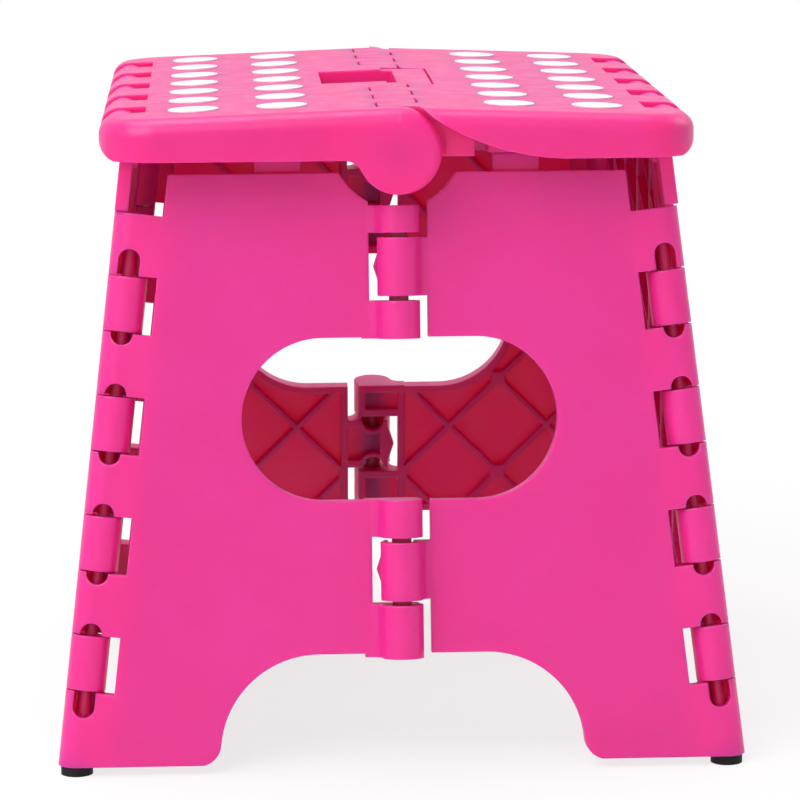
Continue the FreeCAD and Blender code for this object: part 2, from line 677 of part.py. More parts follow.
def seat_cavity():
    """Hollows under the left half of the seat, between its ribs."""
    inner = SEAT_SOLID_HALF
    outer = SEAT_HALF_WIDTH - END_SLOT_DEPTH - SEAT_WALL
    reach = SEAT_HALF_DEPTH - SEAT_WALL
    low = SKIRT_HEIGHT - SEAT_WALL
    hollow = prism(
        [
            Vector(-inner, -reach, low),
            Vector(-inner, -reach, top_height(inner) - SEAT_PLATE),
            Vector(-outer, -reach, top_height(outer) - SEAT_PLATE),
            Vector(-outer, -reach, low),
        ],
        Vector(0, 2 * reach, 0),
    )
    ribs = []
    half = SEAT_RIB / 2
    for index in range(SEAT_RIBS):
        middle = (index - (SEAT_RIBS - 1) / 2) * 2 * reach / (SEAT_RIBS + 1)
        ribs.append(block(Vector(-outer, middle - half, low), Vector(-inner, middle + half, SEAT_HEIGHT)))
    spine = (inner + outer) / 2
    ribs.append(block(Vector(-spine - half, -reach, low), Vector(-spine + half, reach, SEAT_HEIGHT)))
    tab_line = CORNER_Y - (SKIRT_HEIGHT / math.cos(FRONT_LEAN)) * math.sin(FRONT_LEAN)
    for side in (-1, 1):
        near = side * (tab_line + PANEL_BACK - PAD_MARGIN)
        far = side * (tab_line + CORNER_RADIUS - TAB_SETBACK + PAD_MARGIN)
        low_corner = Vector(-TAB_INNER - TAB_WIDTH - PAD_MARGIN, min(near, far), low)
        high_corner = Vector(-TAB_INNER + PAD_MARGIN, max(near, far), SEAT_HEIGHT)
        ribs.append(block(low_corner, high_corner))
    return without(hollow, ribs)


def layers():
    """Layers of one hinge group from the ear inwards: the half that owns each, and its two ends along Y."""
    edge = SEAT_HALF_DEPTH
    yield "left", edge - EAR_LENGTH, edge
    edge -= EAR_LENGTH
    for index in range(FINGERS):
        owner = "right" if index % 2 == 0 else "left"
        yield owner, edge - FINGER_LENGTH, edge
        edge -= FINGER_LENGTH


def mid_rod(start, end, radius):
    """Round bar on the mid hinge line between two places along Y."""
    return rod(Vector(0, start, MID_HEIGHT), Vector(0, end, MID_HEIGHT), radius)


def tongue(inner, outer, reach, top):
    """Square upper corner of a left finger, right of the mid hinge line, up to a given top."""
    low = min(inner, outer)
    return prism(
        [
            Vector(0, low, MID_HEIGHT),
            Vector(reach, low, MID_HEIGHT),
            Vector(reach, low, top - reach * math.tan(FALL)),
            Vector(0, low, top),
        ],
        Vector(0, abs(outer - inner), 0),
    )


def finger(inner, outer):
    """One left finger: a barrel whose upper corner is filled out to a square tip with rounded edges."""
    square = tongue(inner, outer, TONGUE_REACH, SEAT_HEIGHT)
    upright = [
        edge
        for edge in square.Edges
        if all(abs(vertex.X - TONGUE_REACH) < SAME_PLACE for vertex in edge.Vertexes)
        and abs(edge.Vertexes[0].Y - edge.Vertexes[1].Y) < SAME_PLACE
    ]
    return [mid_rod(inner, outer, EAR_RADIUS - FINGER_INSET), square.makeFillet(TONGUE_ROUND, upright)]


def finger_space(inner, outer):
    """Space that a left finger needs in the right half."""
    square = tongue(inner, outer, TONGUE_REACH + TONGUE_GAP, SEAT_HEIGHT + EAR_RADIUS)
    return [mid_rod(inner, outer, EAR_RADIUS + EAR_GAP), square]


def hinge_rounds(owner):
    """Fingers that belong to one half, and the spaces that clear the other half's fingers and ears."""
    solids = []
    spaces = []
    for half, inner, outer in layers():
        is_ear = outer == SEAT_HALF_DEPTH
        for side in (-1, 1):
            if half == owner and not is_ear:
                solids += finger(side * (inner + FACE_GAP / 2), side * (outer - FACE_GAP / 2))
            elif half != owner and not is_ear:
                spaces += finger_space(side * (inner - FACE_GAP / 2), side * (outer + FACE_GAP / 2))
            elif half != owner:
                start = side * (inner - FACE_GAP / 2)
                spaces.append(mid_rod(start, side * (outer + FACE_GAP), EAR_RADIUS + EAR_GAP))
    if owner == "right":
        return [mirrored(solid) for solid in solids], spaces
    return solids, [mirrored(space) for space in spaces]


def ear(side):
    """Round ear at the front or back of the left half, whose edge gets sharper towards its lowest point."""
    inner = side * (SEAT_HALF_DEPTH - EAR_LENGTH + FACE_GAP / 2)
    outer = side * SEAT_HALF_DEPTH
    top = Vector(0, outer, MID_HEIGHT + EAR_RADIUS)
    right = Vector(EAR_RADIUS, outer, MID_HEIGHT)
    bottom = Vector(0, outer, MID_HEIGHT - EAR_RADIUS)
    arc = Part.Arc(top, right, bottom).toShape()
    face = Part.Face(Part.Wire([arc, Part.makeLine(bottom, top)]))
    half = face.extrude(Vector(0, inner - outer, 0))
    edge = next(
        edge
        for edge in half.Edges
        if isinstance(edge.Curve, Part.Circle)
        and all(abs(vertex.Y - outer) < SAME_PLACE for vertex in edge.Vertexes)
    )
    radii = (EAR_TOP_ROUND, EAR_EDGE_ROUND)
    if edge.firstVertex(True).Z < edge.lastVertex(True).Z:
        radii = (EAR_EDGE_ROUND, EAR_TOP_ROUND)
    half = half.makeFillet(radii[0], radii[1], [edge])
    below = block(Vector(-EAR_RADIUS, min(inner, outer), 0), Vector(0, max(inner, outer), MID_HEIGHT))
    return [half, mid_rod(inner, outer, EAR_RADIUS).common(below)]


def mid_pin(side, clearance):
    """Mid hinge pin of the front or back finger group."""
    start = BAR_HALF + FACE_GAP / 2 - clearance
    end = SEAT_HALF_DEPTH - MID_PIN_END + clearance
    return mid_rod(side * start, side * end, MID_PIN_RADIUS + clearance)


def ear_blend(side):
    """Hollow round that leads from the left skirt's lower edge into an ear."""
    drop = MID_HEIGHT - SKIRT_HEIGHT + EAR_BLEND
    left = math.sqrt((EAR_RADIUS + EAR_BLEND) ** 2 - drop**2)
    share = EAR_RADIUS / (EAR_RADIUS + EAR_BLEND)
    inner = SEAT_HALF_DEPTH - EAR_LENGTH + FACE_GAP / 2
    low = min(side * inner, side * SEAT_HALF_DEPTH)
    length = Vector(0, SEAT_HALF_DEPTH - inner, 0)
    fill = prism(
        [
            Vector(-left, low, SKIRT_HEIGHT),
            Vector(-left * share, low, MID_HEIGHT - drop * share),
            Vector(0, low, MID_HEIGHT),
            Vector(-left, low, MID_HEIGHT),
        ],
        length,
    )
    hollow_start = Vector(-left, low, SKIRT_HEIGHT - EAR_BLEND)
    return fill.cut(rod(hollow_start, hollow_start + length, EAR_BLEND))


def end_slots():
    """Slots in the left end of the seat that take the end panel's barrels."""
    for middle in end_slot_middles():
        low = Vector(-SEAT_HALF_WIDTH - END_RADIUS, middle - END_SLOT / 2, 0)
        high = Vector(-SEAT_HALF_WIDTH + END_SLOT_DEPTH, middle + END_SLOT / 2, SEAT_HEIGHT + END_RADIUS)
        yield block(low, high)


def dots(radius, depth, rise):
    """Grip dots of the left half, square to the falling top."""
    up = Vector(-math.sin(FALL), 0, math.cos(FALL))
    discs = []
    for column in DOT_COLUMNS:
        for row in range(DOT_ROWS):
            middle = Vector(-column, (row - (DOT_ROWS - 1) / 2) * DOT_PITCH, top_height(column))
            discs.append(Part.makeCylinder(radius, depth + rise, middle - up * depth, up))
    return discs


def carrying_bar():
    """Bar that bridges the mid hinge line, with a rounded right edge."""
    low = SEAT_HEIGHT - BAR_DEPTH
    top = top_height(BAR_REACH)
    length = Vector(0, 2 * BAR_HALF, 0)
    body = block(Vector(-BAR_ROUND, -BAR_HALF, low), Vector(BAR_REACH - BAR_ROUND, BAR_HALF, top))
    nose = block(Vector(0, -BAR_HALF, low + BAR_ROUND), Vector(BAR_REACH, BAR_HALF, top - BAR_ROUND))
    pieces = [body, nose]
    for height in (low + BAR_ROUND, top - BAR_ROUND):
        start = Vector(BAR_REACH - BAR_ROUND, -BAR_HALF, height)
        pieces.append(rod(start, start + length, BAR_ROUND))
    return union(pieces)


def hand_hole():
    above = SEAT_HEIGHT + EAR_RADIUS
    return block(Vector(-HOLE_LEFT, -HOLE_HALF, 0), Vector(HOLE_RIGHT, HOLE_HALF, above))


def seat_base():
    """What both seat halves share, built on the left."""
    cutters = [seat_cavity(), end_pin(RUNNING_FIT)]
    cutters += list(end_slots())
    cutters += dots(DOT_RADIUS, DOT_DEPTH, DOT_RISE)
    return without(seat_slab(), cutters)


def seat_left():
    fingers, spaces = hinge_rounds("left")
    base = without(seat_base(), spaces)
    bar = without(carrying_bar(), spaces)
    ears = []
    for side in (-1, 1):
        ears += ear(side) + [ear_blend(side)]
    body = union([base, bar] + fingers + ears)
    cutters = [hand_hole()] + [mid_pin(side, RUNNING_FIT) for side in (-1, 1)]
    return without(body, cutters)


def seat_right():
    fingers, spaces = hinge_rounds("right")
    cutters = list(spaces)
    room = BAR_HALF + FACE_GAP / 2
    cutters.append(block(Vector(-FAR, -room, 0), Vector(BAR_REACH + BAR_GAP, room, FAR)))
    circle_z = SKIRT_HEIGHT + SWEEP_RADIUS
    for side in (-1, 1):
        inner = side * (SEAT_HALF_DEPTH - EAR_LENGTH)
        outer = side * (SEAT_HALF_DEPTH + EAR_LENGTH)
        low = Vector(0, min(inner, outer), 0)
        high = Vector(SWEEP_END, max(inner, outer), SEAT_HEIGHT + EAR_RADIUS)
        start = Vector(SWEEP_END, low.y, circle_z)
        keep = rod(start, Vector(SWEEP_END, high.y, circle_z), SWEEP_RADIUS)
        cutters.append(block(low, high).cut(keep))
    base = without(mirrored(seat_base()), cutters)
    body = union([base] + fingers)
    return without(body, [mid_pin(side, MID_PIN_PLAY) for side in (-1, 1)])


def build():
    """All sub-parts by node name."""
    front_left = wall_half(outer=True, pin_clearance=RUNNING_FIT)
    front_right = mirrored(wall_half(outer=False, pin_clearance=RUNNING_FIT))
    back_left = turned(mirrored(wall_half(outer=False, pin_clearance=BACK_PIN_PLAY)))
    left_end = end_panel()
    corner_pin = placed(corner_pin_local(0), front_frame())
    lower_pin, upper_pin = centre_pins()
    foot = rubber_foot()
    left_end_pin = end_pin(0)
    left_dots = Part.Compound(dots(DOT_RADIUS - RUNNING_FIT, DOT_DEPTH - RUNNING_FIT, DOT_RISE))
    nodes = {
        "seat_left": seat_left(),
        "seat_right": seat_right(),
        "grip_dots_left": left_dots,
        "grip_dots_right": mirrored(left_dots),
        "seat_mid_pin_front": mid_pin(-1, 0),
        "seat_mid_pin_back": mid_pin(1, 0),
        "end_panel_left": left_end,
        "end_panel_right": turned(left_end),
        "seat_end_pin_left": left_end_pin,
        "seat_end_pin_right": turned(left_end_pin),
        "front_panel_left": front_left,
        "front_panel_right": front_right,
        "back_panel_left": back_left,
        "back_panel_right": turned(front_left),
        "front_centre_pin_lower": lower_pin,
        "front_centre_pin_upper": upper_pin,
        "back_centre_pin_lower": turned(lower_pin),
        "back_centre_pin_upper": turned(upper_pin),
    }
    for name, piece in (("corner_pin", corner_pin), ("rubber_foot", foot)):
        nodes[name + "_front_left"] = piece
        nodes[name + "_front_right"] = mirrored(piece)
        nodes[name + "_back_left"] = turned(mirrored(piece))
        nodes[name + "_back_right"] = turned(piece)
    return nodes


os.makedirs("parts", exist_ok=True)
for node, shape in build().items():
    shape.exportStep("parts/" + node + ".step")
    solids = len(shape.Solids)
    print(node, "solids", solids, "volume", round(shape.Volume, 1), "valid", shape.isValid())
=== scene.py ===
"""Dresses the folding step stool in its moulded finishes and sets it in a pale studio."""
import math

import bpy
from bpy.props import FloatProperty, FloatVectorProperty, PointerProperty
from mathutils import Matrix, Vector


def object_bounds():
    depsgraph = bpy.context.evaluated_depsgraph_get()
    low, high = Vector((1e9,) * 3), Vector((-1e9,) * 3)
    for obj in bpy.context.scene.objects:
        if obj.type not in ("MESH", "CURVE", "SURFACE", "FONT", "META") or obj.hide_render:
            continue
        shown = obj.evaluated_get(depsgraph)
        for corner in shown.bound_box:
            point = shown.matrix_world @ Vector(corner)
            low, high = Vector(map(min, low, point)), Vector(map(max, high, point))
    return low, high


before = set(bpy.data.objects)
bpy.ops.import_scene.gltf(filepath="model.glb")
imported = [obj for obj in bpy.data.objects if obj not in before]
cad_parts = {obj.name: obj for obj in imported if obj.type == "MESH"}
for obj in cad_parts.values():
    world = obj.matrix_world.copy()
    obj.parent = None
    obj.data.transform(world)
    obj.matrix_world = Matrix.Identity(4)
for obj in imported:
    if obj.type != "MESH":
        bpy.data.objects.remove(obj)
cad_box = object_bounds()

bl_info = {
    "name": "Folding step stool finishes",
    "version": (1, 0, 0),
    "blender": (4, 5, 0),
    "location": "View3D > Sidebar > Stool",
    "description": "Moulded plastic, grip dot and rubber finishes for a folding step stool, with its studio",
    "category": "Material",
}

# Pieces by finish
END_PANELS = ("end_panel_left", "end_panel_right")
WALL_PANELS = ("front_panel_left", "front_panel_right", "back_panel_left", "back_panel_right")
SEAT_HALVES = ("seat_left", "seat_right")
PINS = tuple(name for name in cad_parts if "_pin" in name)
GRIP_DOTS = ("grip_dots_left", "grip_dots_right")
FEET = tuple(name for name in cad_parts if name.startswith("rubber_foot"))

# Noise: how fine each kind is, and the band of its values that is spread over the whole range
CLOUD_DETAIL = 3.0
PATCH_DETAIL = 4.0
GRAIN_DETAIL = 2.0
CLOUD_BAND = (0.36, 0.64)
PATCH_BAND = (0.30, 0.70)
DUST_BAND = (0.42, 0.72)
PATCHES_PER_CLOUD = 4

# Edges: the likeness of the rounded normal to the flat one, on plain faces and on full edges
EDGE_LIKENESS = (0.995, 0.86)
EDGE_SAMPLES = 6
LEAST_RUBBING_AND_HIGHLIGHT = 0.2             # share of the rubbing and painted edge highlight that the freshest edge still has

# Dust: the least and the most that covers faces and edges
FACE_DUST = (0.0, 0.8)
EDGE_DUST = (0.1, 0.6)

PLASTIC_IOR = 1.49
WHOLE_RANGE = (0.0, 1.0)
SHADOW_SPREAD = 3              # the shadow starts to fade at its reach divided by this
SENSOR_WIDTH = 36.0            # millimetres


def colour_value(name, description, default):
    """A colour that the user may change."""
    return FloatVectorProperty(
        name=name, description=description, subtype="COLOR", size=3, min=0.0, max=1.0, default=default
    )


def length_value(name, description, default):
    """A length in metres that the user may change."""
    return FloatProperty(
        name=name, description=description, unit="LENGTH", min=0.0, precision=5, default=default
    )


def place_value(name, description, default):
    """A place in metres that the user may change."""
    return FloatVectorProperty(
        name=name, description=description, subtype="TRANSLATION", unit="LENGTH", size=3, precision=4,
        default=default
    )


def angle_value(name, description, degrees):
    """An angle that the user may change, given here in degrees."""
    return FloatProperty(name=name, description=description, subtype="ANGLE", default=math.radians(degrees))


def power_value(name, description, default):
    """A lamp's power in watts that the user may change."""
    return FloatProperty(name=name, description=description, subtype="POWER", min=0.0, default=default)


def share_value(name, description, default):
    """A value from nought to one that the user may change."""
    return FloatProperty(
        name=name, description=description, subtype="FACTOR", min=0.0, max=1.0, default=default
    )


class PlasticLook(bpy.types.PropertyGroup):
    """Colours and grain of the pink moulded plastic."""

    colour: colour_value("Colour", "Pink of the walls and end panels", (0.93, 0.030, 0.325))
    deep_colour: colour_value("Deep colour", "Deeper pink that clouds the plastic", (0.89, 0.024, 0.298))
    # The rubbed colours paint the edges paler: partly rubbing, partly painted highlight
    rubbed_and_highlight_colour: colour_value("Rubbed colour", "Paler pink of rubbed edges", (0.96, 0.110, 0.400))
    # The seat pinks are the wall plastic deepened as painted shade, so the seat reads darker under the same
    # light
    seat_painted_shade_colour: colour_value("Seat colour", "Slightly deeper pink of the seat", (0.87, 0.021, 0.275))
    seat_painted_shade_deep_colour: colour_value("Deep seat colour", "Pink that clouds the seat", (0.83, 0.017, 0.252))
    seat_painted_shade_rubbed_and_highlight_colour: colour_value("Rubbed seat colour", "Pink of rubbed edges", (0.94, 0.090, 0.370))
    # The pin pinks are the same pink plastic darkened as painted shade inside the hinge knuckles
    pin_painted_shade_colour: colour_value("Pin colour", "Pink of the hinge pins", (0.60, 0.012, 0.14))
    pin_painted_shade_deep_colour: colour_value("Deep pin colour", "Pink that clouds the pins", (0.50, 0.009, 0.11))
    pin_painted_shade_rubbed_and_highlight_colour: colour_value("Rubbed pin colour", "Paler pink of rubbed pins", (0.72, 0.04, 0.22))
    cloud_size: length_value("Cloud size", "Size of the faint colour clouds in the plastic", 0.035)
    grain_size: length_value("Grain size", "Size of the moulded grain", 0.0007)
    grain_depth: length_value("Grain depth", "Depth of the moulded grain", 0.00003)
    edge_round: length_value("Edge round", "Radius at which moulded edges catch the light", 0.0011)
    # Rubbing sets how far the edges are painted paler, as rubbing and as painted highlight
    rubbing_and_painted_highlight: share_value("Rubbing", "How far the edges are rubbed to the paler pink", 0.55)
    roughness_low: share_value("Least roughness", "Roughness where the plastic is polished by use", 0.30)
    roughness_high: share_value("Most roughness", "Roughness where the moulded grain is fresh", 0.42)
    glow: share_value("Glow", "Share of the light that spreads inside the plastic", 0.80)
    glow_depth: length_value("Glow depth", "How deep light spreads inside the plastic", 0.010)
    glow_colour: colour_value("Glow colour", "How far each colour spreads inside", (1.0, 0.06, 0.22))


class RubberLook(bpy.types.PropertyGroup):
    """Colours and stipple of the white grip dots and of the black feet."""

    # Both dot whites carry a faint pink tint, painted bounce light from the pink plastic
    dot_colour: colour_value("Dot colour", "White of the grip dots", (0.93, 0.87, 0.92))
    dot_dust_colour: colour_value("Dusty dot colour", "White where dust clings", (0.84, 0.76, 0.82))
    foot_colour: colour_value("Foot colour", "Black of the rubber feet", (0.006, 0.005, 0.006))
    foot_dust_colour: colour_value("Dusty foot colour", "Grey where dust clings", (0.020, 0.018, 0.019))
    dust_size: length_value("Dust size", "Size of the dusty patches", 0.006)
    stipple_size: length_value("Stipple size", "Size of the fine stipple", 0.0005)
    stipple_depth: length_value("Stipple depth", "Depth of the fine stipple", 0.00004)
    edge_round: length_value("Edge round", "Radius at which the soft edges catch the light", 0.0005)
    dot_shine: share_value("Dot shine", "How strongly the grip dots reflect", 0.50)
    foot_shine: share_value("Foot shine", "How strongly the feet reflect", 0.22)
    roughness_low: share_value("Least roughness", "Roughness of clean rubber", 0.48)
    roughness_high: share_value("Most roughness", "Roughness of dusty rubber", 0.70)


class StudioSetting(bpy.types.PropertyGroup):
    """Floor, lamps, sky and camera."""

    floor_width: length_value("Floor width", "Width of the pale floor", 12.0)
    floor_colour: colour_value("Floor colour", "Pale colour of the floor", (0.96, 0.96, 0.96))
    floor_glow: share_value("Floor glow", "Share of the floor at the stool that shows plain white", 0.78)
    shadow_reach: length_value("Shadow reach", "Distance at which the floor is plain white", 0.60)
    sky_light: FloatProperty(
        name="Sky light", description="Strength of the light from all round", min=0.0, default=0.50
    )
    top_power: power_value("Top lamp", "Power of the large lamp above the stool", 24.0)
    top_place: place_value("Top lamp place", "Where the lamp above the stool hangs", (-0.4, 0.3, 2.4))
    key_power: power_value("Key lamp", "Power of the large lamp at the front left", 28.0)
    key_place: place_value("Key lamp place", "Where the lamp at the front left stands", (-0.95, -1.25, 1.55))
    fill_power: power_value("Fill lamp", "Power of the large lamp at the back right", 14.0)
    fill_place: place_value("Fill lamp place", "Where the lamp at the back right stands", (2.4, 1.2, 1.8))
    lamp_width: length_value("Lamp width", "Width of each soft lamp", 1.6)
    camera_place: place_value("Camera place", "Where the camera stands", (-0.0600, -1.3554, 0.3466))
    camera_turn: angle_value("Camera turn", "Turn of the camera about the vertical", -2.76)
    camera_dip: angle_value("Camera dip", "How far the camera looks down", 10.174)
    camera_roll: angle_value("Camera roll", "Tilt of the picture", -0.307)
    camera_lens: FloatProperty(
        name="Camera lens", description="Focal length in millimetres on a 36 mm wide sensor", min=1.0,
        default=172.68
    )


class NodeBench:
    """Lays the nodes of one material and links them."""

    def __init__(self, tree):
        self.tree = tree

    def node(self, kind, **settings):
        """A new node with the given settings."""
        made = self.tree.nodes.new(kind)
        for name, value in settings.items():
            setattr(made, name, value)
        return made

    def link(self, source, target):
        self.tree.links.new(source, target)

    def noise(self, place, size, detail):
        """Noise whose features are about the given size in metres."""
        noise = self.node("ShaderNodeTexNoise")
        noise.inputs["Scale"].default_value = 1.0 / size
        noise.inputs["Detail"].default_value = detail
        self.link(place, noise.inputs["Vector"])
        return noise.outputs["Fac"]

    def spread(self, value, source, target):
        """Maps a value from the source range to the target range."""
        spread = self.node("ShaderNodeMapRange")
        spread.inputs["From Min"].default_value = source[0]
        spread.inputs["From Max"].default_value = source[1]
        spread.inputs["To Min"].default_value = target[0]
        spread.inputs["To Max"].default_value = target[1]
        self.link(value, spread.inputs["Value"])
        return spread.outputs["Result"]

    def product(self, first, second):
        """Two values multiplied."""
        product = self.node("ShaderNodeMath", operation="MULTIPLY")
        self.link(first, product.inputs[0])
        self.link(second, product.inputs[1])
        return product.outputs["Value"]

    def blend(self, share, first, second):
        """Mixes two colours, each one a fixed colour or another node's output."""
        mix = self.node("ShaderNodeMix", data_type="RGBA")
        colours = [socket for socket in mix.inputs if socket.type == "RGBA"]
        self.link(share, mix.inputs["Factor"])
        for socket, colour in zip(colours, (first, second)):
            if isinstance(colour, bpy.types.NodeSocket):
                self.link(colour, socket)
            else:
                socket.default_value = (*colour, 1.0)
        return next(socket for socket in mix.outputs if socket.type == "RGBA")

    def soft_edge(self, radius):
        """Normal rounded at the edges, and a mask that is one on the edges and nought on flat faces."""
        bevel = self.node("ShaderNodeBevel", samples=EDGE_SAMPLES)
        bevel.inputs["Radius"].default_value = radius
        flat = self.node("ShaderNodeNewGeometry")
        likeness = self.node("ShaderNodeVectorMath", operation="DOT_PRODUCT")
        self.link(bevel.outputs["Normal"], likeness.inputs[0])
        self.link(flat.outputs["Normal"], likeness.inputs[1])
        return bevel.outputs["Normal"], self.spread(likeness.outputs["Value"], EDGE_LIKENESS, WHOLE_RANGE)

    def bump(self, height, normal, depth):
        """Normal that is raised and sunk by a height, up to a depth in metres."""
        bump = self.node("ShaderNodeBump")
        bump.inputs["Strength"].default_value = 1.0
        bump.inputs["Distance"].default_value = depth
        self.link(height, bump.inputs["Height"])
        self.link(normal, bump.inputs["Normal"])
        return bump.outputs["Normal"]


def new_finish(name):
    """An empty material with its shader, and the bench that lays its nodes."""
    material = bpy.data.materials.new(name)
    material.use_nodes = True
    tree = material.node_tree
    tree.nodes.clear()
    bench = NodeBench(tree)
    shader = bench.node("ShaderNodeBsdfPrincipled")
    bench.link(shader.outputs["BSDF"], bench.node("ShaderNodeOutputMaterial").inputs["Surface"])
    place = bench.node("ShaderNodeTexCoord").outputs["Object"]
    return material, bench, shader, place


def moulded_plastic(name, look, colour, deep_colour, rubbed_and_highlight_colour):
    """Satin plastic with faint colour clouds, a fine moulded grain and edges painted paler, partly as
    rubbing and partly as painted highlight.
    """
    material, bench, shader, place = new_finish(name)
    clouds = bench.spread(bench.noise(place, look.cloud_size, CLOUD_DETAIL), CLOUD_BAND, WHOLE_RANGE)
    patches = bench.noise(place, look.cloud_size / PATCHES_PER_CLOUD, PATCH_DETAIL)
    soft_normal, edge = bench.soft_edge(look.edge_round)
    # Edges painted paler: partly rubbing, partly painted highlight
    rubbing_and_painted_highlight = bench.spread(patches, PATCH_BAND, (LEAST_RUBBING_AND_HIGHLIGHT * look.rubbing_and_painted_highlight, look.rubbing_and_painted_highlight))
    rubbed_and_painted_highlight = bench.product(edge, rubbing_and_painted_highlight)
    moulded = bench.blend(clouds, colour, deep_colour)
    bench.link(bench.blend(rubbed_and_painted_highlight, moulded, rubbed_and_highlight_colour), shader.inputs["Base Color"])
    roughness = bench.spread(patches, PATCH_BAND, (look.roughness_low, look.roughness_high))
    bench.link(roughness, shader.inputs["Roughness"])
    grain = bench.noise(place, look.grain_size, GRAIN_DETAIL)
    bench.link(bench.bump(grain, soft_normal, look.grain_depth), shader.inputs["Normal"])
    shader.inputs["IOR"].default_value = PLASTIC_IOR
    shader.inputs["Subsurface Weight"].default_value = look.glow
    shader.inputs["Subsurface Scale"].default_value = look.glow_depth
    shader.inputs["Subsurface Radius"].default_value = look.glow_colour
    return material


def stippled_rubber(name, look, colour, dust_colour, shine):
    """Matt rubber with a fine stipple and dust that clings in patches and along the edges."""
    material, bench, shader, place = new_finish(name)
    patches = bench.noise(place, look.dust_size, PATCH_DETAIL)
    soft_normal, edge = bench.soft_edge(look.edge_round)
    dusty = bench.blend(bench.spread(patches, DUST_BAND, FACE_DUST), colour, dust_colour)
    edge_dust = bench.product(edge, bench.spread(patches, PATCH_BAND, EDGE_DUST))
    bench.link(bench.blend(edge_dust, dusty, dust_colour), shader.inputs["Base Color"])
    roughness = bench.spread(patches, PATCH_BAND, (look.roughness_low, look.roughness_high))
    bench.link(roughness, shader.inputs["Roughness"])
    stipple = bench.node("ShaderNodeTexVoronoi")
    stipple.inputs["Scale"].default_value = 1.0 / look.stipple_size
    bench.link(place, stipple.inputs["Vector"])
    bumped = bench.bump(stipple.outputs["Distance"], soft_normal, look.stipple_depth)
    bench.link(bumped, shader.inputs["Normal"])
    shader.inputs["Specular IOR Level"].default_value = shine
    return material


def dress(names, material):
    """Puts a finish on the named pieces of the frame."""
    for name in names:
        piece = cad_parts[name]
        for place in piece.material_slots:
            place.material = material


def plastic_finish(look):
    """The one pink plastic that the walls and the end panels share."""
    ready = bpy.data.materials.get("pink_plastic")
    if ready is not None:
        return ready
    return moulded_plastic("pink_plastic", look, look.colour, look.deep_colour, look.rubbed_and_highlight_colour)


class STOOL_OT_finish_walls(bpy.types.Operator):
    """Finish the halves of the front and back walls in pink plastic"""

    bl_idname = "stool.finish_walls"
    bl_label = "Finish Front and Back Walls"

    def execute(self, context):
        dress(WALL_PANELS, plastic_finish(context.scene.stool_plastic))
        return {"FINISHED"}


class STOOL_OT_finish_ends(bpy.types.Operator):
    """Finish the two end panels in pink plastic"""

    bl_idname = "stool.finish_ends"
    bl_label = "Finish End Panels"

    def execute(self, context):
        dress(END_PANELS, plastic_finish(context.scene.stool_plastic))
        return {"FINISHED"}


class STOOL_OT_finish_seat(bpy.types.Operator):
    """Finish the two seat halves in the pink plastic deepened as painted shade"""

    bl_idname = "stool.finish_seat"
    bl_label = "Finish Seat Halves"

    def execute(self, context):
        look = context.scene.stool_plastic
        colours = (look.seat_painted_shade_colour, look.seat_painted_shade_deep_colour, look.seat_painted_shade_rubbed_and_highlight_colour)
        dress(SEAT_HALVES, moulded_plastic("seat_plastic", look, *colours))
        return {"FINISHED"}


class STOOL_OT_finish_pins(bpy.types.Operator):
    """Finish the hinge pins in the pink plastic darkened as painted shade"""

    bl_idname = "stool.finish_pins"
    bl_label = "Finish Hinge Pins"

    def execute(self, context):
        look = context.scene.stool_plastic
        colours = (look.pin_painted_shade_colour, look.pin_painted_shade_deep_colour, look.pin_painted_shade_rubbed_and_highlight_colour)
        dress(PINS, moulded_plastic("pin_plastic", look, *colours))
        return {"FINISHED"}


class STOOL_OT_finish_dots(bpy.types.Operator):
    """Finish the grip dots in soft white rubber"""

    bl_idname = "stool.finish_dots"
    bl_label = "Finish Grip Dots"

    def execute(self, context):
        look = context.scene.stool_rubber
        colours = (look.dot_colour, look.dot_dust_colour)
        dress(GRIP_DOTS, stippled_rubber("white_grip", look, *colours, look.dot_shine))
        return {"FINISHED"}


class STOOL_OT_finish_feet(bpy.types.Operator):
    """Finish the feet in matt black rubber"""

    bl_idname = "stool.finish_feet"
    bl_label = "Finish Feet"

    def execute(self, context):
        look = context.scene.stool_rubber
        colours = (look.foot_colour, look.foot_dust_colour)
        dress(FEET, stippled_rubber("black_rubber", look, *colours, look.foot_shine))
        return {"FINISHED"}


def seen_rays(bench):
    """One for the rays that show the background: camera, glossy and transmission rays."""
    path = bench.node("ShaderNodeLightPath")
    both = bench.node("ShaderNodeMath", operation="MAXIMUM")
    bench.link(path.outputs["Is Camera Ray"], both.inputs[0])
    bench.link(path.outputs["Is Glossy Ray"], both.inputs[1])
    every = bench.node("ShaderNodeMath", operation="MAXIMUM")
    bench.link(both.outputs["Value"], every.inputs[0])
    bench.link(path.outputs["Is Transmission Ray"], every.inputs[1])
    return every.outputs["Value"]


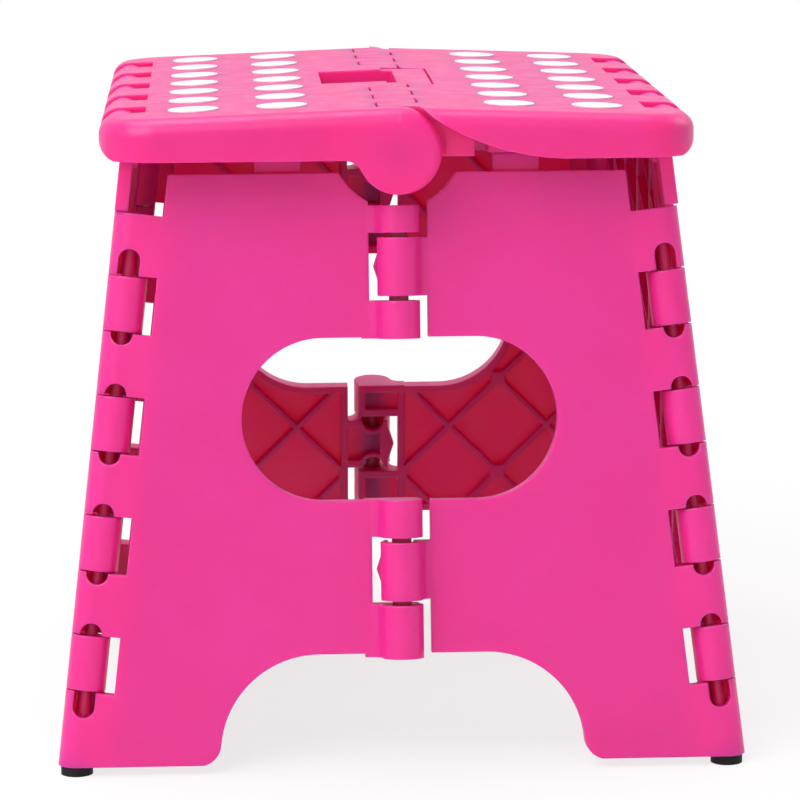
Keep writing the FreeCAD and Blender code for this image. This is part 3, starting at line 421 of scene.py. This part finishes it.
def pale_floor(setting):
    """A wide floor that shows white and keeps a soft shadow of the stool."""
    half = setting.floor_width / 2
    mesh = bpy.data.meshes.new("floor")
    edge_points = [(-half, -half, 0), (half, -half, 0), (half, half, 0), (-half, half, 0)]
    mesh.from_pydata(edge_points, [], [(0, 1, 2, 3)])
    floor = bpy.data.objects.new("floor", mesh)
    bpy.context.scene.collection.objects.link(floor)
    material = bpy.data.materials.new("pale_floor")
    material.use_nodes = True
    material.node_tree.nodes.clear()
    bench = NodeBench(material.node_tree)
    matt = bench.node("ShaderNodeBsdfDiffuse")
    matt.inputs["Color"].default_value = (*setting.floor_colour, 1.0)
    white = bench.node("ShaderNodeEmission")
    mix = bench.node("ShaderNodeMixShader")
    distance = bench.node("ShaderNodeVectorMath", operation="LENGTH")
    bench.link(bench.node("ShaderNodeTexCoord").outputs["Object"], distance.inputs[0])
    reach = (setting.shadow_reach / SHADOW_SPREAD, setting.shadow_reach)
    glow = bench.spread(distance.outputs["Value"], reach, (setting.floor_glow, 1.0))
    bench.link(bench.product(seen_rays(bench), glow), mix.inputs["Fac"])
    bench.link(matt.outputs["BSDF"], mix.inputs[1])
    bench.link(white.outputs["Emission"], mix.inputs[2])
    bench.link(mix.outputs["Shader"], bench.node("ShaderNodeOutputMaterial").inputs["Surface"])
    mesh.materials.append(material)


def pale_sky(scene, setting):
    """A sky that is plain white where it shows and softer where it lights the stool."""
    world = bpy.data.worlds.new("pale_sky")
    world.use_nodes = True
    world.node_tree.nodes.clear()
    bench = NodeBench(world.node_tree)
    sky = bench.node("ShaderNodeBackground")
    strength = bench.spread(seen_rays(bench), WHOLE_RANGE, (setting.sky_light, 1.0))
    bench.link(strength, sky.inputs["Strength"])
    bench.link(sky.outputs["Background"], bench.node("ShaderNodeOutputWorld").inputs["Surface"])
    scene.world = world


def soft_lamp(scene, setting, name, aim):
    """A large round lamp whose place and power are the setting's values of that name."""
    place = Vector(getattr(setting, name + "_place"))
    lamp = bpy.data.lights.new(name + "_lamp", "AREA")
    lamp.shape = "DISK"
    lamp.size = setting.lamp_width
    lamp.energy = getattr(setting, name + "_power")
    holder = bpy.data.objects.new(name + "_lamp", lamp)
    holder.location = place
    holder.rotation_euler = (aim - place).to_track_quat("-Z", "Y").to_euler()
    scene.collection.objects.link(holder)


def studio_camera(scene, setting):
    """The camera at the photograph's viewing angle."""
    camera = bpy.data.cameras.new("camera")
    camera.lens = setting.camera_lens
    camera.sensor_width = SENSOR_WIDTH
    camera.sensor_fit = "HORIZONTAL"
    holder = bpy.data.objects.new("camera", camera)
    turn = Matrix.Rotation(setting.camera_turn, 4, "Z")
    level = Matrix.Rotation(math.pi / 2 - setting.camera_dip, 4, "X")
    roll = Matrix.Rotation(setting.camera_roll, 4, "Z")
    holder.matrix_world = Matrix.Translation(setting.camera_place) @ turn @ level @ roll
    scene.collection.objects.link(holder)
    scene.camera = holder


class STOOL_OT_set_stage(bpy.types.Operator):
    """Set the stool on a pale floor in soft light, with the camera at the front"""

    bl_idname = "stool.set_stage"
    bl_label = "Set Stage"

    def execute(self, context):
        scene = context.scene
        setting = scene.stool_studio
        low, high = (Vector(corner) for corner in cad_box)
        middle = (low + high) / 2
        pale_floor(setting)
        pale_sky(scene, setting)
        for name in ("top", "key", "fill"):
            soft_lamp(scene, setting, name, middle)
        studio_camera(scene, setting)
        scene.view_settings.view_transform = "Standard"
        return {"FINISHED"}


STEPS = (
    STOOL_OT_finish_walls,
    STOOL_OT_finish_ends,
    STOOL_OT_finish_seat,
    STOOL_OT_finish_pins,
    STOOL_OT_finish_dots,
    STOOL_OT_finish_feet,
    STOOL_OT_set_stage,
)


class STOOL_PT_finishes(bpy.types.Panel):
    """Lists the finishing steps and their values"""

    bl_idname = "STOOL_PT_finishes"
    bl_label = "Folding Step Stool"
    bl_space_type = "VIEW_3D"
    bl_region_type = "UI"
    bl_category = "Stool"

    def draw(self, context):
        for step in STEPS:
            self.layout.operator(step.bl_idname)
        for values in (context.scene.stool_plastic, context.scene.stool_rubber, context.scene.stool_studio):
            box = self.layout.box()
            for name in type(values).__annotations__:
                box.prop(values, name)


CLASSES = (PlasticLook, RubberLook, StudioSetting, *STEPS, STOOL_PT_finishes)


def register():
    for kind in CLASSES:
        bpy.utils.register_class(kind)
    bpy.types.Scene.stool_plastic = PointerProperty(type=PlasticLook)
    bpy.types.Scene.stool_rubber = PointerProperty(type=RubberLook)
    bpy.types.Scene.stool_studio = PointerProperty(type=StudioSetting)


def unregister():
    del bpy.types.Scene.stool_studio
    del bpy.types.Scene.stool_rubber
    del bpy.types.Scene.stool_plastic
    for kind in reversed(CLASSES):
        bpy.utils.unregister_class(kind)


def main():
    register()
    bpy.ops.stool.finish_walls()
    bpy.ops.stool.finish_ends()
    bpy.ops.stool.finish_seat()
    bpy.ops.stool.finish_pins()
    bpy.ops.stool.finish_dots()
    bpy.ops.stool.finish_feet()
    bpy.ops.stool.set_stage()


if __name__ == "__main__":
    main()
